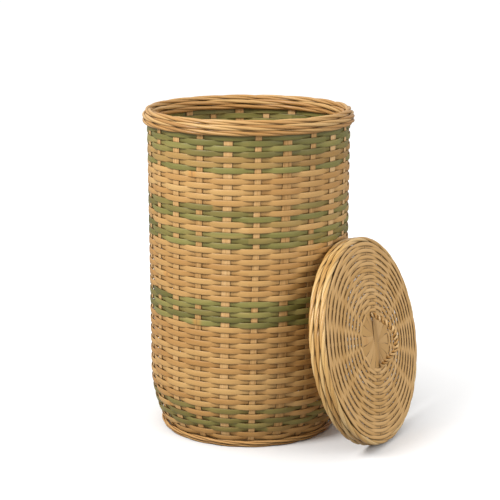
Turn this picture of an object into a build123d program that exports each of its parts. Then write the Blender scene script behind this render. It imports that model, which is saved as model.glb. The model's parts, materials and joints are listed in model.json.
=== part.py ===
from build123d import *
import os
from math import asin, cos, degrees, radians, sin

# A round bamboo laundry basket: flat upright stakes, flat strips woven round them, a coiled rim
# and foot, and a woven lid that leans on its side. The origin is the middle of the foot, on the
# floor. Millimetres, +Z up, and the basket's front faces -Y.

basket_height = 650
clearance = 0.6            # between strips that lie on each other
flatness = 1e-6            # how far from a plane four corners may be to take one face

# The wall's middle surface is a straight, slightly flaring side above a rounded foot.
shoulder_radius = 197      # where the rounding meets the straight side
shoulder_height = 125
rounding_radius = 260
flare = 0.004              # growth of the radius for each mm of height

# Upright stakes, a wide and a narrow one by turns.
stake_pairs = 11
wide_stake_width = 18
narrow_stake_width = 14
stake_thickness = 1.6
first_narrow_angle = 4.5   # degrees to the right of the front
stake_half_angle = 2.8     # half the angle over which a row lies straight along a stake
stake_foot_height = 3
stake_top_height = 639

# Woven rows, from the top down, and the coloured bands that they make.
row_pitch = 10.33
row_width = 9.6
row_thickness = 1.8
row_swing = 2.6            # how far a row swings out and in as it passes the stakes
first_row_height = 616.5
weave_bands = [
    ("weave_green_top", 4),
    ("weave_mixed_upper", 2),
    ("weave_green_neck", 1),
    ("weave_natural_upper", 6),
    ("weave_striped_middle", 4),
    ("weave_natural_single", 1),
    ("weave_green_middle", 3),
    ("weave_natural_middle", 10),
    ("weave_green_lower", 5),
    ("weave_natural_lower", 16),
    ("weave_green_single", 1),
    ("weave_natural_foot_single", 1),
    ("weave_green_foot", 3),
    ("weave_natural_foot", 2),
]

# Rim and foot coils.
rim_coil_radius = 4.5
rim_coil_height = 626.6
rim_top_coil_radius = 5.2
foot_coil_radius = 3.6
foot_coil_rise = 6.7       # height from the lower foot coil to the upper one
foot_hoop_inner_radius = 152
foot_hoop_outer_radius = 162
foot_hoop_height = 12

# Crossing spokes and woven rounds, in the base and in the lid.
spoke_pairs = 8
spoke_thickness = 1.0
spoke_layer = 1.3          # height from one crossing spoke to the next
crossing_radius = 33       # inside this the spokes lie on each other in layers
hub_radius = 54            # outside this they all lie at one height
spoke_turn = 11.25         # degrees, so that the handle's feet come up between two spokes
round_thickness = 1.2
round_swing = 1.8

base_height = foot_hoop_height + clearance + spoke_thickness / 2
base_spoke_width = 12
base_spoke_length = 166
base_round_pitch = 10.6
base_round_width = 9.8
base_first_round_radius = 60
base_round_radii = [base_first_round_radius + base_round_pitch * i for i in range(9)]

# Lid, in its own frame: the lid's rest face is the XY plane and its dome rises along Z.
lid_coil_radius = 5.3
lid_coil_ring_radius = 199
lid_coil_step = 11.2
lid_hoop_outer_radius = 189
lid_hoop_thickness = 2
lid_hoop_bottom = 1
lid_hoop_top = 29.5
lid_edge_height = 33
lid_dome = 4.5
lid_dome_radius = 188
lid_spoke_width = 10.5
lid_leg_radius = 191.5
lid_leg_foot = 3
lid_round_pitch = 6.4
lid_round_width = 5.9
lid_first_round_radius = 59.4
lid_round_radii = [lid_first_round_radius + lid_round_pitch * i for i in range(21)]
lid_inner_rounds = 10

handle_radius = 4
handle_foot_radius = 51
handle_tail_radius = 76
handle_tail_height = 29.4
handle_shoulder_height = 44
handle_top_radius = 20
handle_top_height = 82
handle_foot_bend = 8
handle_shoulder_bend = 14
handle_top_bend = 30

# Where the lid leans: its foot on the floor, its upper edge just clear of the wall.
lid_azimuth = 60.7         # which way the lid faces, in degrees to the right of the front
lid_tilt = 12              # degrees back from upright
lid_place_azimuth = 62.9   # where its middle is, in degrees to the right of the front
lid_distance = 244         # from the basket's axis to the lid's middle


def wall_point(rise, offset):
    """Radius and height at a length up the wall from the shoulder, offset outwards."""
    if rise >= 0:
        return shoulder_radius + flare * rise + offset, shoulder_height + rise
    turn = -rise / rounding_radius
    reach = rounding_radius + offset
    return (shoulder_radius - rounding_radius + reach * cos(turn),
            shoulder_height - reach * sin(turn))


def foot_radius(height, offset):
    """Radius at a height on the rounded foot, offset outwards."""
    reach = rounding_radius + offset
    drop = shoulder_height - height
    return shoulder_radius - rounding_radius + (reach ** 2 - drop ** 2) ** 0.5


def side_faces(low, low_next, high_next, high):
    """The flat face between four corners, or two where the corners don't lie in one plane."""
    normal = (low_next - low).cross(high - low).normalized()
    if abs(normal.dot(high_next - low)) < flatness:
        return [Face(Wire.make_polygon([low, low_next, high_next, high]))]
    return [Face(Wire.make_polygon([low, low_next, high_next])),
            Face(Wire.make_polygon([low, high_next, high]))]


def ring_solid(loops):
    """A ring with flat faces, from the loops of points that its section's corners follow."""
    loops = [[Vector(*point) for point in loop] for loop in loops]
    faces = []
    for low, high in zip(loops, loops[1:] + loops[:1]):
        for i in range(len(low)):
            faces += side_faces(low[i - 1], low[i], high[i], high[i - 1])
    return Solid(Shell(faces))


def swing_angles(start, count, half_angle, side):
    """Angles each side of evenly spaced strips, with 1 or -1 for passing each outside or inside."""
    turns = []
    for i in range(count):
        middle = start + 360 / count * i
        turns += [(middle - half_angle, side), (middle + half_angle, side)]
        side = -side
    return turns


def around(radius, height, angle):
    """The point at an angle in degrees to the right of the front."""
    return radius * sin(radians(angle)), -radius * cos(radians(angle)), height


def torus(ring_radius, height, tube_radius):
    return Pos(0, 0, height) * Torus(ring_radius, tube_radius)


def flat_hoop(inner, outer, bottom, top):
    ring = Circle(outer) - Circle(inner)
    return Pos(0, 0, bottom) * extrude(ring, top - bottom)


def wall_row(number):
    """One woven strip, outside the wide stakes and inside the narrow ones, or the other way about."""
    rise = first_row_height - shoulder_height - row_pitch * number
    low_radius, low_height = wall_point(rise - row_width / 2, 0)
    high_radius, high_height = wall_point(rise + row_width / 2, 0)
    turns = swing_angles(first_narrow_angle, 2 * stake_pairs, stake_half_angle,
                         1 if number % 2 else -1)

    def loop(out, height, scale):
        return [around(scale * (low_radius + side * row_swing + out), height, angle)
                for angle, side in turns]

    half, flaring = row_thickness / 2, high_radius / low_radius
    return ring_solid([loop(half, low_height, 1), loop(half, high_height, flaring),
                       loop(-half, high_height, flaring), loop(-half, low_height, 1)])


def wall_rows():
    """The woven rows of each coloured band, as {name: solids}."""
    bands, first = {}, 0
    for name, count in weave_bands:
        bands[name] = [wall_row(first + i) for i in range(count)]
        first += count
    return bands


def stake(width, angle):
    """A flat upright strip that follows the wall's section, at an angle to the right of the front."""
    half = stake_thickness / 2
    low = -rounding_radius * asin((shoulder_height - stake_foot_height) / rounding_radius)
    high = stake_top_height - shoulder_height
    curves = []
    for offset in (half, -half):
        curves.append(Line(wall_point(high, offset), wall_point(0, offset)))
        curves.append(ThreePointArc(*[wall_point(s, offset) for s in (0, low / 2, low)]))
    for end in (low, high):
        curves.append(Line(wall_point(end, half), wall_point(end, -half)))
    section = Plane.XZ * make_face(curves)
    return Rot(0, 0, angle - 90) * extrude(section, width / 2, both=True)


def stakes():
    step = 360 / stake_pairs
    nodes = {}
    for i in range(stake_pairs):
        narrow = first_narrow_angle + step * i
        nodes[f"narrow_stake_{i + 1:02d}"] = [stake(narrow_stake_width, narrow)]
        nodes[f"wide_stake_{i + 1:02d}"] = [stake(wide_stake_width, narrow + step / 2)]
    return nodes


def rim():
    """Two coils outside the stakes, two inside, and one over their ends."""
    offset = stake_thickness / 2 + clearance + rim_coil_radius
    nodes = {}
    for level, name in enumerate(("lower", "upper")):
        height = rim_coil_height + level * (2 * rim_coil_radius + clearance)
        for place, side in (("outer", 1), ("inner", -1)):
            radius, _ = wall_point(height - shoulder_height, side * offset)
            nodes[f"rim_{place}_coil_{name}"] = [torus(radius, height, rim_coil_radius)]
    top_height = basket_height - rim_top_coil_radius
    top_radius, _ = wall_point(top_height - shoulder_height, 0)
    nodes["rim_top_coil"] = [torus(top_radius, top_height, rim_top_coil_radius)]
    return nodes


def foot():
    """Two coils round the stakes' feet, and a flat hoop inside them that stands on the floor."""
    offset = stake_thickness / 2 + clearance + foot_coil_radius
    nodes = {}
    for level, name in enumerate(("lower", "upper")):
        height = foot_coil_radius + level * foot_coil_rise
        nodes[f"foot_coil_{name}"] = [torus(foot_radius(height, offset), height, foot_coil_radius)]
    nodes["foot_hoop"] = [flat_hoop(foot_hoop_inner_radius, foot_hoop_outer_radius,
                                    0, foot_hoop_height)]
    return nodes


def crossing_spoke(width, half_outline, number):
    """A strip through the middle, from its right half's outline: along the top and back below."""
    left_half = [(-radius, height) for radius, height in reversed(half_outline[1:-1])]
    section = Plane.XZ * make_face(Polyline(*half_outline, *left_half, close=True))
    angle = spoke_turn + 180 / spoke_pairs * number
    return Rot(0, 0, angle) * extrude(section, width / 2, both=True)


def spoke_outline(middle_line, end):
    """The half outline of a spoke along its middle line, with extra points round its end."""
    half = spoke_thickness / 2
    top = [(radius, height + half) for radius, height in middle_line]
    underside = [(radius, height - half) for radius, height in reversed(middle_line)]
    return top + end + underside


def woven_round(radius, width, spoke_width, surface, number):
    """A flat strip woven over and under the spokes that lie on surface(radius)."""
    half_angle = degrees(asin((spoke_width / 2 + clearance) / radius))
    turns = swing_angles(spoke_turn, 2 * spoke_pairs, half_angle, 1 if number % 2 else -1)

    def loop(out, up):
        return [around(radius + out, surface(radius) + side * round_swing + up, angle)
                for angle, side in turns]

    out, up = width / 2, round_thickness / 2
    return ring_solid([loop(-out, up), loop(out, up), loop(out, -up), loop(-out, -up)])


def base():
    """A flat bottom of crossing spokes with strips woven round them."""
    spokes = []
    for number in range(spoke_pairs):
        layer = base_height + spoke_layer * number
        middle_line = [(0, layer), (crossing_radius, layer), (hub_radius, base_height),
                       (base_spoke_length, base_height)]
        spokes.append(crossing_spoke(base_spoke_width, spoke_outline(middle_line, []), number))
    rounds = [woven_round(radius, base_round_width, base_spoke_width, lambda r: base_height, i)
              for i, radius in enumerate(base_round_radii)]
    return {"base_spokes": spokes, "base_weave": rounds}


def lid_surface(radius):
    """Height of the dome of spokes above the lid's rest face."""
    return lid_edge_height + lid_dome * (1 - (radius / lid_dome_radius) ** 2)


def lid_spoke(number):
    """A strip over the dome, with its ends bent down behind the band."""
    half = spoke_thickness / 2
    layer = lid_surface(crossing_radius) + spoke_layer * (number - (spoke_pairs - 1) / 2)
    spans = 4
    dome_radii = [hub_radius + (lid_dome_radius - hub_radius) * i / spans for i in range(spans + 1)]
    middle_line = [(0, layer), (crossing_radius, layer)]
    middle_line += [(radius, lid_surface(radius)) for radius in dome_radii]
    outside, inside = lid_leg_radius + half, lid_leg_radius - half
    bend = lid_surface(lid_leg_radius)
    leg = [(outside, bend + half), (outside, lid_leg_foot), (inside, lid_leg_foot),
           (inside, bend - half)]
    return crossing_spoke(lid_spoke_width, spoke_outline(middle_line, leg), number)


def lid_handle():
    """A cane arch whose feet pass through the lid and turn outwards under it."""
    right = [(handle_tail_radius, handle_tail_height), (handle_foot_radius, handle_tail_height),
             (handle_foot_radius, handle_shoulder_height), (handle_top_radius, handle_top_height)]
    left = [(-x, z) for x, z in reversed(right)]
    half_bends = [handle_foot_bend, handle_shoulder_bend, handle_top_bend]
    bends = half_bends + half_bends[::-1]
    path = FilletPolyline(*[(x, 0, z) for x, z in right + left], radius=bends)
    section = Plane(origin=path @ 0, z_dir=path % 0) * Circle(handle_radius)
    return sweep(section, path=path)


def lid():
    """The lid's pieces in its own frame."""
    nodes = {}
    for level, name in enumerate(("lower", "middle", "upper")):
        height = lid_coil_radius + lid_coil_step * level
        nodes[f"lid_band_coil_{name}"] = [torus(lid_coil_ring_radius, height, lid_coil_radius)]
    nodes["lid_inner_hoop"] = [flat_hoop(lid_hoop_outer_radius - lid_hoop_thickness,
                                         lid_hoop_outer_radius, lid_hoop_bottom, lid_hoop_top)]
    nodes["lid_spokes"] = [lid_spoke(number) for number in range(spoke_pairs)]
    rounds = [woven_round(radius, lid_round_width, lid_spoke_width, lid_surface, i)
              for i, radius in enumerate(lid_round_radii)]
    nodes["lid_weave_inner"] = rounds[:lid_inner_rounds]
    nodes["lid_weave_outer"] = rounds[lid_inner_rounds:]
    nodes["lid_handle"] = [lid_handle()]
    return nodes


def lid_place():
    """Where the leaning lid's own frame lies: its origin, and X up the lid and Z out of its top."""
    turn, tilt = radians(lid_azimuth), radians(lid_tilt)
    outward = Vector(sin(turn), -cos(turn), 0)
    up = Vector(0, 0, 1)
    normal = outward * cos(tilt) + up * sin(tilt)
    along = up * cos(tilt) - outward * sin(tilt)
    # The lower coil stands on the floor.
    height = lid_coil_radius + lid_coil_ring_radius * cos(tilt) - lid_coil_radius * sin(tilt)
    middle = around(lid_distance, height, lid_place_azimuth)
    return Plane(origin=middle, x_dir=along, z_dir=normal).location


def main():
    place = lid_place()
    nodes = {**wall_rows(), **stakes(), **rim(), **foot(), **base()}
    for name, solids in lid().items():
        nodes[name] = [place * solid for solid in solids]
    os.makedirs("parts", exist_ok=True)
    for name, solids in nodes.items():
        export_step(Compound(children=solids), f"parts/{name}.step")


main()
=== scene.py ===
import json
import math
import bpy
import numpy as np
from mathutils import Matrix, Vector


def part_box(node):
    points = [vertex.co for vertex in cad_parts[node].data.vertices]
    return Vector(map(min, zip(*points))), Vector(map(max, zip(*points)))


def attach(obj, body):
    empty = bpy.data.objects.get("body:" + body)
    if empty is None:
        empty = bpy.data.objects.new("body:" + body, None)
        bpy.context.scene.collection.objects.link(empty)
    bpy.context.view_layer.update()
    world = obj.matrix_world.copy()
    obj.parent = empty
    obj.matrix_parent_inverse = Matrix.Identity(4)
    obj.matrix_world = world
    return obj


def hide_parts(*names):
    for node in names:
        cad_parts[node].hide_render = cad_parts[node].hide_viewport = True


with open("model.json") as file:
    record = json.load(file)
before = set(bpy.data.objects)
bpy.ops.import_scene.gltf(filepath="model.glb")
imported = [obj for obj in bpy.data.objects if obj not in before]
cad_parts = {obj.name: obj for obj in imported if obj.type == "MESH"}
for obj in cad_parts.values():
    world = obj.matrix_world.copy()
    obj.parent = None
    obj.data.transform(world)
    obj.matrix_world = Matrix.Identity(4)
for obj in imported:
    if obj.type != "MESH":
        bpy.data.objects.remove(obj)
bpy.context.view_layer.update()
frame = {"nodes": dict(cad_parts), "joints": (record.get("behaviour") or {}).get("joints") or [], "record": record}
print("frame loaded:", len(frame["nodes"]), "nodes")

dice = np.random.default_rng(7)
fullTurn = 2 * math.pi

# places read from the frame
lidSlide = next(joint for joint in frame["joints"] if joint["name"] == "lid_lift_away")
lidAxis = Vector(lidSlide["axis"]).normalized()
lidUp = (Vector((0, 0, 1)) - lidAxis * lidAxis.z).normalized()


def boxMiddle(node):
    low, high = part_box(node)
    return (Vector(low) + Vector(high)) / 2


lidCoilRadius = 0.0053
lidCoilStep = 0.0112
lidCoilRingRadius = 0.199
lidOrigin = boxMiddle("lid_band_coil_lower") - lidAxis * lidCoilRadius
lidTurn = Matrix((lidUp, lidAxis.cross(lidUp), lidAxis)).transposed().to_4x4()
lidPlace = Matrix.Translation(lidOrigin) @ lidTurn

# the wall's section: a straight, slightly flaring side above a rounded foot
wall = dict(shoulderRadius=0.197, shoulderHeight=0.125, rounding=0.26, flare=0.004,
            stakePairs=11, firstNarrow=math.radians(4.5), lean=0.115, leanHeight=0.46)


# node arithmetic
def plug(tree, value, socket):
    if isinstance(value, Field):
        tree.links.new(value.socket, socket)
    else:
        socket.default_value = value


class Field:
    # a value in a node tree, so that node maths is written as arithmetic
    def __init__(self, tree, socket):
        self.tree, self.socket = tree, socket

    def apply(self, operation, *others):
        maths = self.tree.nodes.new("ShaderNodeMath")
        maths.operation = operation
        for value, socket in zip((self, *others), maths.inputs):
            plug(self.tree, value, socket)
        return Field(self.tree, maths.outputs[0])

    def __add__(self, other):
        return self.apply("ADD", other)

    def __sub__(self, other):
        return self.apply("SUBTRACT", other)

    def __rsub__(self, other):
        return self * -1 + other

    def __mul__(self, other):
        return self.apply("MULTIPLY", other)

    def __truediv__(self, other):
        return self.apply("DIVIDE", other)

    def __neg__(self):
        return self * -1

    __radd__ = __add__
    __rmul__ = __mul__

    def sin(self):
        return self.apply("SINE")

    def cos(self):
        return self.apply("COSINE")

    def size(self):
        return self.apply("ABSOLUTE")

    def atLeast(self, other):
        return self.apply("MAXIMUM", other)

    def atMost(self, other):
        return self.apply("MINIMUM", other)

    def clamped(self):
        return self.atLeast(0.0).atMost(1.0)

    def fraction(self):
        return self.apply("FRACT")

    def rounded(self):
        return self.apply("ROUND")

    def curved(self, power):
        # keeps the sign, bends the size
        return self.apply("SIGN") * self.size().apply("POWER", power)

    def step(self, low, high):
        # 0 below low, 1 above high, smooth between
        ramp = ((self - low) / (high - low)).clamped()
        return ramp * ramp * (3 - ramp * 2)


def scatter(row, seed):
    # a fixed random value from 0 to 1 for each row
    return ((row * 12.9898 + seed * 78.233).sin() * 43758.5453).fraction()


def joined(tree, x, y, z=0.0):
    node = tree.nodes.new("ShaderNodeCombineXYZ")
    for value, socket in zip((x, y, z), node.inputs):
        plug(tree, value, socket)
    return Field(tree, node.outputs[0])


def noise(tree, x, y, z, detail=1.0):
    # smooth noise about 0, within about -1 to 1
    node = tree.nodes.new("ShaderNodeTexNoise")
    node.inputs["Scale"].default_value = 1.0
    node.inputs["Detail"].default_value = detail
    plug(tree, joined(tree, x, y, z), node.inputs["Vector"])
    return (Field(tree, node.outputs[0]) - 0.5) * 2.4


def splitVector(tree, socket):
    node = tree.nodes.new("ShaderNodeSeparateXYZ")
    tree.links.new(socket, node.inputs[0])
    return [Field(tree, out) for out in node.outputs]


# geometry trees
socketKinds = {float: "NodeSocketFloat", int: "NodeSocketInt"}


def newTree(name, inputs):
    tree = bpy.data.node_groups.new(name, "GeometryNodeTree")
    tree.interface.new_socket("Geometry", in_out="INPUT", socket_type="NodeSocketGeometry")
    for label, value in inputs.items():
        socket = tree.interface.new_socket(label, in_out="INPUT", socket_type=socketKinds[type(value)])
        socket.default_value = value
    tree.interface.new_socket("Material", in_out="INPUT", socket_type="NodeSocketMaterial")
    tree.interface.new_socket("Geometry", in_out="OUTPUT", socket_type="NodeSocketGeometry")
    entry = tree.nodes.new("NodeGroupInput")
    fields = {out.name: Field(tree, out) for out in entry.outputs if out.name}
    return tree, fields


# faces along and round each kind of strip
fineness = dict(hoop=(264, 12), stake=(96, 12), rope=(300, 12), lidRound=(192, 10), spoke=(120, 12))


def stripSheet(tree, rows, alongCount, aroundCount):
    # one flat grid for each row: x is 0..1 along the strip, y is 0..1 round its section, z is the row
    line = tree.nodes.new("GeometryNodeMeshLine")
    plug(tree, rows, line.inputs["Count"])
    grid = tree.nodes.new("GeometryNodeMeshGrid")
    grid.inputs["Size X"].default_value = 1.0
    grid.inputs["Size Y"].default_value = 1.0
    grid.inputs["Vertices X"].default_value = alongCount + 1
    grid.inputs["Vertices Y"].default_value = aroundCount + 1
    spread = tree.nodes.new("GeometryNodeInstanceOnPoints")
    real = tree.nodes.new("GeometryNodeRealizeInstances")
    tree.links.new(line.outputs["Mesh"], spread.inputs["Points"])
    tree.links.new(grid.outputs["Mesh"], spread.inputs["Instance"])
    tree.links.new(spread.outputs[0], real.inputs[0])
    x, y, z = splitVector(tree, tree.nodes.new("GeometryNodeInputPosition").outputs[0])
    return real.outputs[0], x + 0.5, y + 0.5, z.rounded()


def store(tree, geometry, label, value, kind="FLOAT", domain="POINT"):
    node = tree.nodes.new("GeometryNodeStoreNamedAttribute")
    node.data_type, node.domain = kind, domain
    node.inputs["Name"].default_value = label
    tree.links.new(geometry, node.inputs["Geometry"])
    plug(tree, value, node.inputs["Value"])
    return node.outputs[0]


def finishTree(tree, geometry, position, material, flip=False, seamGap=2e-5):
    move = tree.nodes.new("GeometryNodeSetPosition")
    tree.links.new(geometry, move.inputs["Geometry"])
    plug(tree, position, move.inputs["Position"])
    last = move.outputs[0]
    if flip:
        turned = tree.nodes.new("GeometryNodeFlipFaces")
        tree.links.new(last, turned.inputs[0])
        last = turned.outputs[0]
    for kind in ("GeometryNodeMergeByDistance", "GeometryNodeSetShadeSmooth",
                 "GeometryNodeRealizeInstances", "GeometryNodeSetMaterial"):
        node = tree.nodes.new(kind)
        tree.links.new(last, node.inputs["Geometry"])
        last = node.outputs[0]
        if kind == "GeometryNodeMergeByDistance":
            node.inputs["Distance"].default_value = seamGap
        if kind == "GeometryNodeSetMaterial":
            plug(tree, material, node.inputs["Material"])
    outlet = tree.nodes.new("NodeGroupOutput")
    tree.links.new(last, outlet.inputs[0])


def grow(name, tree, values, material, place=None, path=None):
    # runs a tree on an empty or a path mesh and keeps the plain result
    host = bpy.data.objects.new(name, path or bpy.data.meshes.new(name))
    bpy.context.collection.objects.link(host)
    modifier = host.modifiers.new("Weave", "NODES")
    modifier.node_group = tree
    ids = {s.name: s.identifier for s in tree.interface.items_tree if s.in_out == "INPUT"}
    for label, value in values.items():
        modifier[ids[label]] = value
    modifier[ids["Material"]] = material
    graph = bpy.context.evaluated_depsgraph_get()
    mesh = bpy.data.meshes.new_from_object(host.evaluated_get(graph), depsgraph=graph)
    host.modifiers.clear()
    host.data = mesh
    mesh.name = name
    if place:
        mesh.transform(place)
    return host


def wallPoint(rise, offset):
    # radius and height at a length up the wall from the shoulder, offset outwards
    up = rise.atLeast(0.0)
    turn = (-rise).atLeast(0.0) / wall["rounding"]
    reach = offset + wall["rounding"]
    radius = reach * turn.cos() + up * wall["flare"] + (wall["shoulderRadius"] - wall["rounding"])
    return radius, up - reach * turn.sin() + wall["shoulderHeight"]


def stripSection(circuit, width, thickness, crown):
    # a flat strip with soft corners, bowed outwards; returns its offsets across and out
    angle = circuit * fullTurn
    across = angle.cos().curved(0.5)
    out = angle.sin().curved(0.32) * thickness * 0.5 + crown * (1 - across * across)
    return across * width * 0.5, out


def weaveWave(phase):
    # a wave with a flattened crest, which lies along a stake as it crosses it
    return (phase.cos() - (phase * 3.0).cos() * 0.13) / 0.87


def makeHoopTree():
    tree, given = newTree("wovenHoops", {
        "Rows": 4, "First Row": 0, "Pitch": 0.01033, "Top Rise": 0.4915, "Strip Width": 0.0113,
        "Thickness": 0.0016, "Crown": 0.0005, "Swing": 0.0021, "Unevenness": 0.0004, "Seed": 3})
    sheet, along, circuit, row = stripSheet(tree, given["Rows"], *fineness["hoop"])
    number = row + given["First Row"]
    angle = along * fullTurn
    ringX, ringY = angle.cos(), angle.sin()
    wobble = noise(tree, ringX * 3.1, ringY * 3.1, number * 5.3 + given["Seed"])
    fine = noise(tree, ringX * 9.0, ringY * 9.0, number * 3.7 - given["Seed"])
    rise = given["Top Rise"] - given["Pitch"] * number
    _, height = wallPoint(rise, rise * 0.0)
    drift = (height - wall["leanHeight"]) * wall["lean"]
    side = (number * math.pi).cos() * -1
    wave = side * weaveWave((angle - drift - wall["firstNarrow"]) * float(wall["stakePairs"]))
    outer = (wave * 0.5 + 0.5).clamped()
    width = given["Strip Width"] * (0.96 + outer * 0.05 + fine * 0.04 + scatter(number, 2.0) * 0.05)
    across, out = stripSection(circuit, width, given["Thickness"], given["Crown"])
    up = across + (wobble + fine * 0.5) * given["Unevenness"]
    swing = wave * given["Swing"] * (1 + fine * 0.06)
    tilt = across * fine * 0.04
    radius, height = wallPoint(rise + up, swing + out + tilt)
    sheet = store(tree, sheet, "UVMap",
                  joined(tree, angle * 0.2, across + number * 0.02), "FLOAT2", "CORNER")
    sheet = store(tree, sheet, "row", number)
    sheet = store(tree, sheet, "edge", width * 0.5 - across.size())
    finishTree(tree, sheet, joined(tree, angle.sin() * radius, -(angle.cos() * radius), height),
               given["Material"], flip=True)
    return tree


def makeStakeTree():
    tree, given = newTree("uprightStakes", {
        "Count": 11, "First Angle": wall["firstNarrow"], "Width": 0.014, "Thickness": 0.0015,
        "Crown": 0.0003, "Low Rise": -0.128, "High Rise": 0.514, "Seed": 2})
    steps = fineness["stake"][0]
    sheet, along, circuit, row = stripSheet(tree, given["Count"], *fineness["stake"])
    size = scatter(row, given["Seed"])
    closing = (along.atMost(1 - along) * float(steps)).clamped()
    wobble = noise(tree, along * 7.0, row * 3.3, given["Seed"] * 1.0)
    width = given["Width"] * (0.94 + size * 0.12 + wobble * 0.03)
    across, out = stripSection(circuit, width, given["Thickness"], given["Crown"])
    rise = given["Low Rise"] + along * (given["High Rise"] - given["Low Rise"])
    radius, height = wallPoint(rise, out * closing)
    drift = (height - wall["leanHeight"]) * wall["lean"] + wobble * 0.004
    angle = given["First Angle"] + row * (fullTurn / wall["stakePairs"]) + drift
    turn = angle + across * closing / radius
    sheet = store(tree, sheet, "UVMap", joined(tree, rise, across + row * 0.03), "FLOAT2", "CORNER")
    sheet = store(tree, sheet, "tone", scatter(row + 3.7, given["Seed"]))
    sheet = store(tree, sheet, "edge", width * 0.5 - across.size())
    finishTree(tree, sheet, joined(tree, turn.sin() * radius, -(turn.cos() * radius), height),
               given["Material"])
    return tree


def makeRopeTree():
    # strands laid round each other along the path that the tree is given
    tree, given = newTree("twistedCane", {
        "Strands": 2, "Rope Radius": 0.0048, "Turns": 8.0, "Fullness": 0.5, "Flatness": 1.25,
        "Unevenness": 0.06, "Open Ends": 0.0, "Length": 1.25, "Seed": 1})
    steps = fineness["rope"][0]
    sheet, along, circuit, row = stripSheet(tree, given["Strands"], *fineness["rope"])
    toCurve = tree.nodes.new("GeometryNodeMeshToCurve")
    tree.links.new(given["Geometry"].socket, toCurve.inputs["Mesh"])
    sample = tree.nodes.new("GeometryNodeSampleCurve")
    sample.mode = "FACTOR"
    tree.links.new(toCurve.outputs[0], sample.inputs["Curves"])
    plug(tree, along, sample.inputs["Factor"])
    ringAngle = along * fullTurn
    ringX, ringY = ringAngle.cos(), ringAngle.sin()
    thick = noise(tree, ringX * 5.0, ringY * 5.0, row * 4.1 + given["Seed"])
    loose = noise(tree, ringX * 4.0, ringY * 4.0, row * 2.3 - given["Seed"])
    closing = ((along.atMost(1 - along) * float(steps)).clamped() + 1 - given["Open Ends"]).atMost(1.0)
    lay = ringAngle * given["Turns"] + row * fullTurn / given["Strands"] + loose * 0.35
    girth = given["Rope Radius"] * given["Fullness"] * (1 + thick * given["Unevenness"]) * closing
    spin = circuit * fullTurn
    inOut = spin.cos().curved(0.85) * girth
    sideways = spin.sin().curved(0.85) * girth * given["Flatness"]
    reach = given["Rope Radius"] * (1 - given["Fullness"]) + inOut
    x = reach * lay.cos() - sideways * lay.sin()
    y = reach * lay.sin() + sideways * lay.cos()
    place = sample.outputs["Position"]
    cross = tree.nodes.new("ShaderNodeVectorMath")
    cross.operation = "CROSS_PRODUCT"
    tree.links.new(sample.outputs["Tangent"], cross.inputs[0])
    tree.links.new(sample.outputs["Normal"], cross.inputs[1])
    total = place
    for direction, amount in ((sample.outputs["Normal"], x), (cross.outputs[0], y)):
        scaled = tree.nodes.new("ShaderNodeVectorMath")
        scaled.operation = "SCALE"
        tree.links.new(direction, scaled.inputs[0])
        plug(tree, amount, scaled.inputs["Scale"])
        added = tree.nodes.new("ShaderNodeVectorMath")
        added.operation = "ADD"
        tree.links.new(total, added.inputs[0])
        tree.links.new(scaled.outputs[0], added.inputs[1])
        total = added.outputs[0]
    grainPlace = joined(tree, along * given["Length"], circuit * 0.02 + row * 0.05)
    sheet = store(tree, sheet, "UVMap", grainPlace, "FLOAT2", "CORNER")
    sheet = store(tree, sheet, "tone", scatter(row + 1.3, given["Seed"]))
    finishTree(tree, sheet, Field(tree, total), given["Material"], flip=True, seamGap=1e-6)
    return tree


def domeHeight(radius, given):
    share = radius / given["Dome Radius"]
    return given["Edge Height"] + given["Dome"] * (1 - share * share)


def makeRoundTree():
    # strips woven over and under spokes, round a flat or domed disc
    tree, given = newTree("wovenRounds", {
        "Rows": 20, "First Row": 0, "First Radius": 0.0594, "Pitch": 0.00655, "Strip Width": 0.0079,
        "Thickness": 0.0034, "Swing": 0.0014, "Spoke Pairs": 8, "Edge Height": 0.033, "Dome": 0.0045,
        "Dome Radius": 0.188, "Spoke Turn": math.radians(11.25), "Unevenness": 0.0006, "Seed": 5})
    sheet, along, circuit, row = stripSheet(tree, given["Rows"], *fineness["lidRound"])
    number = row + given["First Row"]
    angle = along * fullTurn
    middle = given["First Radius"] + given["Pitch"] * number
    ringX, ringY = angle.cos() * middle, angle.sin() * middle
    wobble = noise(tree, ringX * 16.0, ringY * 16.0, number * 2.9 + given["Seed"])
    fine = noise(tree, ringX * 45.0, ringY * 45.0, number * 3.7 - given["Seed"])
    side = (number * math.pi).cos() * -1
    wave = side * weaveWave((angle - given["Spoke Turn"]) * given["Spoke Pairs"])
    width = given["Strip Width"] * (1 + fine * 0.06)
    spin = circuit * fullTurn
    across = spin.cos().curved(0.8) * width * 0.5
    out = spin.sin().curved(0.7) * given["Thickness"] * 0.5
    sideStep = (wobble + fine * 0.4) * given["Unevenness"]
    radius = middle + across + sideStep
    height = domeHeight(middle, given) + wave * given["Swing"] * (1 + fine * 0.08) + out
    share = middle / given["Dome Radius"]
    height = height - across * share * given["Dome"] * 2 / given["Dome Radius"]  # lies along the dome
    sheet = store(tree, sheet, "UVMap",
                  joined(tree, angle * middle, across + number * 0.02), "FLOAT2", "CORNER")
    sheet = store(tree, sheet, "row", number)
    sheet = store(tree, sheet, "edge", width * 0.5 - across.size())
    finishTree(tree, sheet, joined(tree, angle.sin() * radius, -(angle.cos() * radius), height),
               given["Material"])
    return tree


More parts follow.
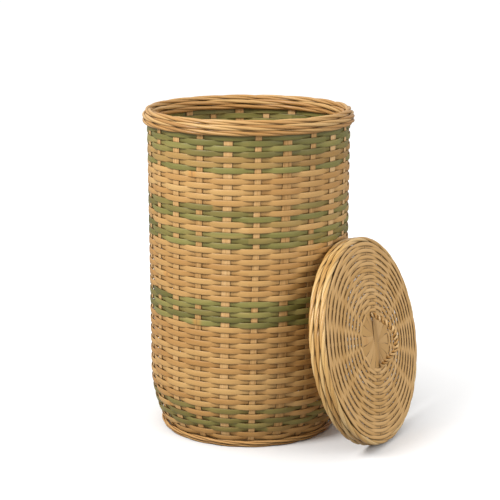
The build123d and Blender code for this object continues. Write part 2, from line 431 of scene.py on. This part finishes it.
def makeSpokeTree():
    # strips through the middle, laid on each other at the hub, with their ends bent down
    tree, given = newTree("crossingSpokes", {
        "Count": 8, "Width": 0.0095, "Hub Width": 0.0226, "Thickness": 0.001, "Layer": 0.00022,
        "Crossing Radius": 0.033, "Hub Radius": 0.054, "Spoke Turn": math.radians(11.25),
        "Edge Height": 0.033, "Dome": 0.0045, "Dome Radius": 0.188, "Half Length": 0.188,
        "Leg": 0.029, "Seed": 4})
    steps = fineness["spoke"][0]
    sheet, along, circuit, row = stripSheet(tree, given["Count"], *fineness["spoke"])
    closing = (along.atMost(1 - along) * float(steps)).clamped()
    reach = (along * 2 - 1) * (given["Half Length"] + given["Leg"])
    distance = reach.size().atMost(given["Half Length"])
    drop = (reach.size() - given["Half Length"]).atLeast(0.0)
    legged = (drop / 0.002).clamped()
    hub = 1 - distance.step(given["Crossing Radius"], given["Hub Radius"])
    wide = 1 - distance.step(given["Hub Radius"] + 0.002, given["Hub Radius"] + 0.009)
    petal = (distance * 0.41).atMost(given["Hub Width"]).atLeast(given["Hub Width"] * 0.76)
    wobble = noise(tree, reach * 30.0, row * 3.1, given["Seed"] * 1.0)
    width = (given["Width"] + (petal - given["Width"]) * wide) * (1 + wobble * 0.04)
    across, out = stripSection(circuit, width, given["Thickness"], given["Thickness"] * 0.25)
    layer = row * given["Layer"] * hub
    height = domeHeight(distance, given) + layer - drop + out * (1 - legged) * closing
    forward = reach.apply("SIGN") * (distance + legged * (0.003 + out * closing))
    turn = row * (math.pi / 8) + given["Spoke Turn"]
    side = across * closing
    x = forward * turn.cos() - side * turn.sin()
    y = forward * turn.sin() + side * turn.cos()
    sheet = store(tree, sheet, "UVMap", joined(tree, reach, across + row * 0.03), "FLOAT2", "CORNER")
    sheet = store(tree, sheet, "tone", scatter(row + 0.9, given["Seed"]))
    sheet = store(tree, sheet, "edge", width * 0.5 - across.size())
    finishTree(tree, sheet, joined(tree, x, y, height), given["Material"], flip=True)
    return tree


# materials
def shaderNodes(name):
    material = bpy.data.materials.new(name)
    material.use_nodes = True
    tree = material.node_tree
    shader = next(n for n in tree.nodes if n.type == "BSDF_PRINCIPLED")
    return material, tree, shader


def colourRamp(tree, factor, stops):
    node = tree.nodes.new("ShaderNodeValToRGB")
    ramp = node.color_ramp
    while len(ramp.elements) < len(stops):
        ramp.elements.new(0.5)
    for element, (place, colour) in zip(ramp.elements, stops):
        element.position = place
        element.color = (*colour, 1)
    plug(tree, factor, node.inputs["Fac"])
    return node.outputs["Color"]


def mixed(tree, factor, first, second):
    node = tree.nodes.new("ShaderNodeMix")
    node.data_type = "RGBA"
    plug(tree, factor, node.inputs["Factor"])
    for socket, slot in ((first, 6), (second, 7)):
        if isinstance(socket, tuple):
            node.inputs[slot].default_value = (*socket, 1)
        else:
            tree.links.new(socket, node.inputs[slot])
    return node.outputs[2]


def attribute(tree, label):
    node = tree.nodes.new("ShaderNodeAttribute")
    node.attribute_name = label
    return Field(tree, node.outputs["Fac"])


def paintedCreviceShade(tree, reach):
    # 1 deep between strips: painted shade, occlusion darkening the colour where strips lie close together
    node = tree.nodes.new("ShaderNodeAmbientOcclusion")
    node.samples = 8
    node.inputs["Distance"].default_value = reach
    return ((1 - Field(tree, node.outputs["AO"])) * 1.25 - 0.1).clamped()


jointOrange = (0.6, 0.27, 0.055)  # round a bamboo joint
jointDark = (0.16, 0.08, 0.03)
paintedSlitShadeBrown = (0.1, 0.045, 0.012)   # painted shade along the edges of a strip, for the dark slits between strips
# colour of the painted shade between close-lying strips
paintedShadeBrown = (0.05, 0.022, 0.006)


def caneMaterial(name, stops, dyeStops=None, fibre=2600.0, fibreDepth=0.35, gloss=0.5, sheen=0.1,
                 nodeGap=0.36, nodeShow=0.6, grain=0.16, edgeShade=0.3,
                 edgeWidth=0.0012, smooth=0.0, shadeReach=0.008):
    material, tree, shader = shaderNodes(name)
    uv = tree.nodes.new("ShaderNodeUVMap")
    uv.uv_map = "UVMap"
    along, across, _ = splitVector(tree, uv.outputs[0])
    tone = attribute(tree, "tone")
    streak = noise(tree, along * 22.0, across * fibre, tone * 40.0, detail=3.0)
    blotch = noise(tree, along * 14.0, across * 70.0, tone * 31.0, detail=2.0)
    patch = noise(tree, along * 3.0, across * 12.0, tone * 17.0)
    mark = ((along / nodeGap + tone * 7.0).fraction() - 0.5).size() * nodeGap
    rare = tone.step(0.74, 0.76) * nodeShow
    ring = (1 - mark.step(0.0006, 0.0022)) * rare
    halo = (1 - mark.step(0.003, 0.014)) * rare
    factor = 0.5 + (tone - 0.5) * 0.5 + streak * grain + blotch * 0.12 + patch * 0.1
    colour = colourRamp(tree, factor.clamped(), stops)
    if dyeStops:
        dye = attribute(tree, "dye")
        uneven = (blotch * 0.35 + streak * 0.18) * (1 - dye) * 2
        faded = (blotch * 0.3 + patch * 0.25).atLeast(0.0)
        worn = (dye * (1 + uneven) - faded * dye).clamped()
        green = colourRamp(tree, factor.clamped(), dyeStops)
        colour = mixed(tree, worn, colour, green)
    colour = mixed(tree, halo, colour, jointOrange)
    colour = mixed(tree, ring * 0.6, colour, jointDark)
    # painted shade: each strip darkens towards its edges, standing in for the dark slits between strips
    edge = 1 - (attribute(tree, "edge") + smooth).step(0.0003, edgeWidth)
    colour = mixed(tree, edge * edgeShade, colour, paintedSlitShadeBrown)
    # painted shade: the colour turns dark brown where strips lie close together
    colour = mixed(tree, paintedCreviceShade(tree, shadeReach), colour, paintedShadeBrown)
    tree.links.new(colour, shader.inputs["Base Color"])
    rough = (1 - gloss) + streak * 0.07 + blotch * 0.05
    plug(tree, rough.clamped(), shader.inputs["Roughness"])
    shader.inputs["Coat Weight"].default_value = sheen
    shader.inputs["Coat Roughness"].default_value = 0.3
    bump = tree.nodes.new("ShaderNodeBump")
    bump.inputs["Strength"].default_value = fibreDepth
    bump.inputs["Distance"].default_value = 0.0004
    plug(tree, streak + ring * 1.2, bump.inputs["Height"])
    tree.links.new(bump.outputs[0], shader.inputs["Normal"])
    return material


def shade(*hexes):
    # linear colours from sRGB hex strings
    def linear(part):
        value = int(part, 16) / 255
        return value / 12.92 if value <= 0.04045 else ((value + 0.055) / 1.055) ** 2.4
    return [tuple(linear(code[i:i + 2]) for i in (0, 2, 4)) for code in hexes]


def ramp(*hexes):
    colours = shade(*hexes)
    return [(i / (len(colours) - 1), c) for i, c in enumerate(colours)]


naturalStops = ramp("8e5f28", "ba8848", "cea160", "dfbd80")
greenStops = ramp("464115", "706a2e", "928a46", "b6a96b")
weaveCane = {slot: caneMaterial(slot, naturalStops, greenStops, gloss=0.5, sheen=0.12)
             for slot in ("natural_strip", "green_strip", "striped_strip")}
stakeCane = caneMaterial("stakeBamboo", ramp("96692f", "c99a5b", "ddb176", "ecca94"), fibre=430.0,
                         grain=0.42, fibreDepth=0.6, gloss=0.42, sheen=0.05, nodeGap=0.41, nodeShow=0.5)
rimCane = caneMaterial("rimCane", ramp("8f622e", "b98748", "cda264", "dfbe88"), fibre=900.0,
                       fibreDepth=0.5, gloss=0.5, sheen=0.15, nodeShow=0.0, smooth=0.01,
                       shadeReach=0.005)
footCane = caneMaterial("footCane", ramp("8c602e", "b98646", "d0a060", "e0bb80"), fibre=900.0,
                        fibreDepth=0.5, gloss=0.45, sheen=0.1, nodeShow=0.0, smooth=0.01,
                        shadeReach=0.005)
lidBandCane = caneMaterial("lidBandCane", ramp("986b30", "c2924d", "d9af6c", "ebcf9a"), fibre=900.0,
                           fibreDepth=0.4, gloss=0.62, sheen=0.3, nodeShow=0.0, smooth=0.01,
                           shadeReach=0.005)
lidCane = caneMaterial("lidCane", ramp("a37438", "c99a56", "dcb072", "ebc894"), fibre=1400.0,
                       fibreDepth=0.4, gloss=0.45, sheen=0.1, nodeShow=0.25)
spokeCane = caneMaterial("spokeBamboo", ramp("b3854a", "c79b5c", "cfa468", "d8b079"), fibre=1200.0,
                         fibreDepth=0.5, gloss=0.42, sheen=0.05, nodeShow=0.3, edgeShade=0.85,
                         edgeWidth=0.0016)
handleCane = caneMaterial("handleCane", ramp("a4783c", "cc9c58", "deb476", "f0cc96"), fibre=1200.0,
                          fibreDepth=0.5, gloss=0.5, sheen=0.12, nodeShow=0.0, smooth=0.01,
                          shadeReach=0.005)
baseCane = caneMaterial("baseBamboo", ramp("94703e", "b88f58", "c8a26c", "d6b482"), fibre=1200.0,
                        fibreDepth=0.5, gloss=0.38, sheen=0.0, nodeShow=0.4)


def hoopMaterial(name, stops):
    # bent flat hoops that stay as the frame gives them, with grain along the bend
    material, tree, shader = shaderNodes(name)
    coords = tree.nodes.new("ShaderNodeTexCoord")
    x, y, z = splitVector(tree, coords.outputs["Object"])
    grain = noise(tree, x * 40.0, y * 40.0, z * 900.0, detail=3.0)
    patch = noise(tree, x * 9.0, y * 9.0, z * 9.0)
    tree.links.new(colourRamp(tree, (0.5 + grain * 0.2 + patch * 0.15).clamped(), stops),
                   shader.inputs["Base Color"])
    plug(tree, (0.55 + grain * 0.08).clamped(), shader.inputs["Roughness"])
    bump = tree.nodes.new("ShaderNodeBump")
    bump.inputs["Strength"].default_value = 0.4
    bump.inputs["Distance"].default_value = 0.0004
    plug(tree, grain, bump.inputs["Height"])
    tree.links.new(bump.outputs[0], shader.inputs["Normal"])
    return material


hoopCane = hoopMaterial("bentHoop", ramp("94703e", "b88f58", "c8a26c", "d6b482"))
print("materials made")

# wall rows, in their coloured bands
bands = [("weave_green_top", 4), ("weave_mixed_upper", 2), ("weave_green_neck", 1),
         ("weave_natural_upper", 6), ("weave_striped_middle", 4), ("weave_natural_single", 1),
         ("weave_green_middle", 3), ("weave_natural_middle", 10), ("weave_green_lower", 5),
         ("weave_natural_lower", 16), ("weave_green_single", 1), ("weave_natural_foot_single", 1),
         ("weave_green_foot", 3), ("weave_natural_foot", 2)]

# how green each row is, and where round the basket that changes: row -> [(up to degrees, dye)]
dyeByRow = {0: [(180, 1.0)], 1: [(180, 1.0)], 2: [(180, 1.0)], 3: [(180, 0.95)],
            4: [(180, 0.3)], 5: [(180, 0.35)], 6: [(180, 1.0)],
            13: [(-20, 0.9), (25, 0.45), (180, 0.8)], 14: [(3, 0.9), (180, 0.05)], 15: [(180, 1.0)],
            16: [(-2, 0.1), (180, 0.5)], 18: [(180, 1.0)], 19: [(180, 0.95)], 20: [(180, 1.0)],
            31: [(180, 1.0)], 32: [(180, 1.0)], 33: [(180, 1.0)], 34: [(180, 1.0)], 35: [(180, 1.0)],
            52: [(180, 0.85)], 54: [(180, 0.9)], 55: [(180, 0.95)], 56: [(12, 0.9), (180, 0.35)]}


def paintRows(piece, seams, pairs, start):
    # each row is a few strips end to end, joined behind a stake, and each has its own tone
    mesh = piece.data
    count = len(mesh.vertices)
    places = np.empty(count * 3)
    mesh.vertices.foreach_get("co", places)
    places = places.reshape(-1, 3)
    rows = np.empty(count)
    mesh.attributes["row"].data.foreach_get("value", rows)
    rows = np.round(rows).astype(int)
    angles = np.degrees(np.arctan2(places[:, 0], -places[:, 1]))
    tones, dyes = np.empty(count), np.zeros(count)
    for row in np.unique(rows):
        pick = rows == row
        slots = dice.choice(pairs, seams, replace=False)
        cuts = np.sort((start + (2 * slots + row % 2) * 180 / pairs + 180) % 360 - 180)
        shades = dice.uniform(0.15, 0.85, seams + 1)
        shades[-1] = shades[0]
        tones[pick] = shades[np.searchsorted(cuts, angles[pick])]
        for limit, amount in reversed(dyeByRow.get(row, [])):
            dyes[pick & (angles <= limit)] = amount
    for label, values in (("tone", tones), ("dye", dyes)):
        layer = mesh.attributes.new(label, "FLOAT", "POINT")
        layer.data.foreach_set("value", values)


hoopTree = makeHoopTree()
firstRow = 0
for node, rowCount in bands:
    slot = next(s["material_slot"] for s in frame["record"]["subparts"] if s["node"] == node)
    piece = grow(node + "_strips", hoopTree, {"Rows": rowCount, "First Row": firstRow}, weaveCane[slot])
    paintRows(piece, 3, 11, math.degrees(wall["firstNarrow"]))
    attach(piece, "basket")
    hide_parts(node)
    firstRow += rowCount
print("wall woven:", firstRow, "rows")

# stakes
stakeTree = makeStakeTree()
stakeSettings = {
    "narrow_stake": {"Width": 0.0138, "First Angle": wall["firstNarrow"], "Seed": 2},
    "wide_stake": {"Width": 0.0178, "First Angle": wall["firstNarrow"] + math.pi / 11, "Seed": 9},
}
for node, values in stakeSettings.items():
    piece = grow(node + "s", stakeTree, values, stakeCane)
    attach(piece, "basket")
    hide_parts(*[f"{node}_{i + 1:02d}" for i in range(wall["stakePairs"])])
print("stakes raised")


# twisted cane: rim, foot and lid band
def ringPath(radius, height):
    steps = fineness["rope"][0]
    mesh = bpy.data.meshes.new("ringPath")
    turns = [fullTurn * i / steps for i in range(steps)]
    points = [(radius * math.sin(turn), -radius * math.cos(turn), height) for turn in turns]
    mesh.from_pydata(points, [(i, (i + 1) % steps) for i in range(steps)], [])
    return mesh


ropeTree = makeRopeTree()
rimRope = {"Turns": 6.0, "Rope Radius": 0.0058, "Strands": 3, "Flatness": 1.1}
coilSettings = {
    "rim_outer_coil_lower": {**rimRope, "Seed": 1},
    "rim_outer_coil_upper": {**rimRope, "Seed": 2},
    "rim_top_coil": {**rimRope, "Rope Radius": 0.006, "Seed": 3},
    "rim_inner_coil_lower": {"Turns": 6.0, "Rope Radius": 0.0057, "Fullness": 0.56, "Seed": 4},
    "rim_inner_coil_upper": {"Turns": 6.0, "Rope Radius": 0.0057, "Fullness": 0.56, "Seed": 5},
    "foot_coil_lower": {"Turns": 9.0, "Rope Radius": 0.0036, "Seed": 6},
    "foot_coil_upper": {"Turns": 9.0, "Rope Radius": 0.0038, "Seed": 7},
}
for node, values in coilSettings.items():
    low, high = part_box(node)
    thick = (high[2] - low[2]) / 2
    path = ringPath((high[0] - low[0]) / 2 - thick, (high[2] + low[2]) / 2)
    cane, slot = (rimCane, "rim_cane") if node.startswith("rim") else (footCane, "foot_cane")
    piece = grow(node + "_cane", ropeTree, values, cane, path=path)
    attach(piece, "basket")
    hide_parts(node)

lidBandRope = {"Turns": 9.0, "Rope Radius": 0.0058, "Strands": 3, "Fullness": 0.54, "Flatness": 1.15}
lidBand = {
    "lid_band_coil_lower": {"Level": 0, "Seed": 11},
    "lid_band_coil_middle": {"Level": 1, "Seed": 12},
    "lid_band_coil_upper": {"Level": 2, "Seed": 13},
}
for node, values in lidBand.items():
    path = ringPath(lidCoilRingRadius, lidCoilRadius + lidCoilStep * values["Level"])
    piece = grow(node + "_cane", ropeTree, {**lidBandRope, "Seed": values["Seed"]}, lidBandCane,
                 place=lidPlace, path=path)
    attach(piece, "lid")
    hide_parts(node)
print("coils twisted")

# lid and base weaving
roundTree = makeRoundTree()
spokeTree = makeSpokeTree()
discs = {
    "lid_weave_inner": ({"Rows": 10, "First Row": 0}, lidCane, "lid_strip", "lid", lidPlace),
    "lid_weave_outer": ({"Rows": 11, "First Row": 10}, lidCane, "lid_strip", "lid", lidPlace),
    "base_weave": ({"Rows": 9, "First Radius": 0.06, "Pitch": 0.0106, "Strip Width": 0.0098,
                    "Thickness": 0.0014, "Edge Height": 0.0131, "Dome": 0.0}, baseCane, "base_bamboo",
                   "basket", None),
}
for node, (values, cane, slot, body, place) in discs.items():
    piece = grow(node + "_rounds", roundTree, values, cane)
    paintRows(piece, 2, 8, 11.25)
    if place:
        piece.data.transform(place)
    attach(piece, body)
    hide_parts(node)
spokes = {
    "lid_spokes": ({}, spokeCane, "lid_spoke_bamboo", "lid", lidPlace),
    "base_spokes": ({"Width": 0.012, "Hub Width": 0.012, "Edge Height": 0.0131,
                     "Dome": 0.0, "Half Length": 0.164, "Leg": 0.0},
                    baseCane, "base_bamboo", "basket", None),
}
for node, (values, cane, slot, body, place) in spokes.items():
    piece = grow(node + "_strips", spokeTree, values, cane, place=place)
    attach(piece, body)
    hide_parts(node)
print("lid and base woven")

# lid handle
handle = dict(corners=[(0.076, 0.0294), (0.051, 0.0294), (0.051, 0.044), (0.02, 0.082)],
              bends=[0.008, 0.014, 0.03])


def handlePath():
    # from the right tail up over the arch, with round bends, then mirrored
    corners = [Vector(c) for c in handle["corners"]]
    corners.append(Vector((-corners[-1].x, corners[-1].y)))
    points = [corners[0]]
    for before, corner, after, bend in zip(corners, corners[1:], corners[2:], handle["bends"]):
        arrive, leave = (corner - before).normalized(), (after - corner).normalized()
        turn = arrive.angle(leave)
        start = corner - arrive * bend * math.tan(turn / 2)
        inward = (leave - arrive * leave.dot(arrive)).normalized()
        for i in range(9):
            part = turn * i / 8
            points.append(start + arrive * bend * math.sin(part) + inward * bend * (1 - math.cos(part)))
    both = points + [Vector((-p.x, p.y)) for p in reversed(points)]
    mesh = bpy.data.meshes.new("handlePath")
    mesh.from_pydata([(p.x, 0, p.y) for p in both], [(i, i + 1) for i in range(len(both) - 1)], [])
    return mesh


piece = grow("lid_handle_cane", ropeTree,
             {"Turns": 12.0, "Rope Radius": 0.0052, "Strands": 2, "Fullness": 0.52, "Open Ends": 1.0,
              "Length": 0.25, "Seed": 21, "Flatness": 1.15},
             handleCane, place=lidPlace, path=handlePath())
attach(piece, "lid")
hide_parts("lid_handle")
print("handle bent")

for node in ("foot_hoop", "lid_inner_hoop"):
    mesh = frame["nodes"][node].data
    mesh.materials.clear()
    mesh.materials.append(hoopCane)

# floor, light and camera
floorMesh = bpy.data.meshes.new("floor")
floorMesh.from_pydata([(-30, -30, 0), (30, -30, 0), (30, 60, 0), (-30, 60, 0)], [], [(0, 1, 2, 3)])
floor = bpy.data.objects.new("floor", floorMesh)
bpy.context.collection.objects.link(floor)
floorMaterial, floorTree, floorShader = shaderNodes("paleFloor")
floorShader.inputs["Roughness"].default_value = 0.9
floorShader.inputs["Specular IOR Level"].default_value = 0.1
# seen directly the floor is near white, and it throws less light back than it shows
seen = Field(floorTree, floorTree.nodes.new("ShaderNodeLightPath").outputs["Is Camera Ray"])
# painted shadow: the floor's glow dims where occlusion, turned towards the key light, finds the basket
shadow = dict(reach=0.6, towardsLight=(-0.45, -0.1, 0.88), strength=3.2)
shading = floorTree.nodes.new("ShaderNodeAmbientOcclusion")
shading.samples = 16
shading.inputs["Distance"].default_value = shadow["reach"]
shading.inputs["Normal"].default_value = shadow["towardsLight"]
outsidePaintedShadow = Field(floorTree, shading.outputs["AO"]).curved(shadow["strength"])
floorTree.links.new(mixed(floorTree, seen, (0.35, 0.35, 0.35), (0.9, 0.9, 0.9)),
                    floorShader.inputs["Base Color"])
floorShader.inputs["Emission Color"].default_value = (1, 1, 1, 1)
# the floor's glow, darkened by the painted shadow
plug(floorTree, seen * outsidePaintedShadow * 0.36, floorShader.inputs["Emission Strength"])
floorMesh.materials.append(floorMaterial)

scene = bpy.context.scene
scene.view_settings.view_transform = "Standard"
world = bpy.data.worlds.new("studio")
world.use_nodes = True
world.node_tree.nodes["Background"].inputs["Color"].default_value = (1, 1, 1, 1)
world.node_tree.nodes["Background"].inputs["Strength"].default_value = 0.75
scene.world = world


def softLight(name, place, target, size, power, colour=(1, 1, 1)):
    data = bpy.data.lights.new(name, "AREA")
    data.shape, data.size, data.size_y = "RECTANGLE", size[0], size[1]
    data.energy, data.color = power, colour
    lamp = bpy.data.objects.new(name, data)
    lamp.location = place
    lamp.rotation_euler = (Vector(target) - Vector(place)).to_track_quat("-Z", "Y").to_euler()
    bpy.context.collection.objects.link(lamp)


softLight("fillLight", (2.6, -2.0, 1.6), (0.2, 0, 0.3), (1.6, 1.6), 30)
softLight("keyLight", (-2.0, -1.7, 2.6), (0, 0, 0.35), (1.2, 1.2), 95)

frameWidth = 500
cameraData = bpy.data.cameras.new("camera")
cameraData.sensor_width = 36
cameraData.lens = cameraData.sensor_width * 1479.93 / frameWidth
cameraData.shift_x = 1.5 / frameWidth
camera = bpy.data.objects.new("camera", cameraData)
camera.location = (0, -2.9265, 1.0231)
camera.rotation_euler = (math.pi / 2 - 0.2233, 0, 0)
bpy.context.collection.objects.link(camera)
scene.camera = camera
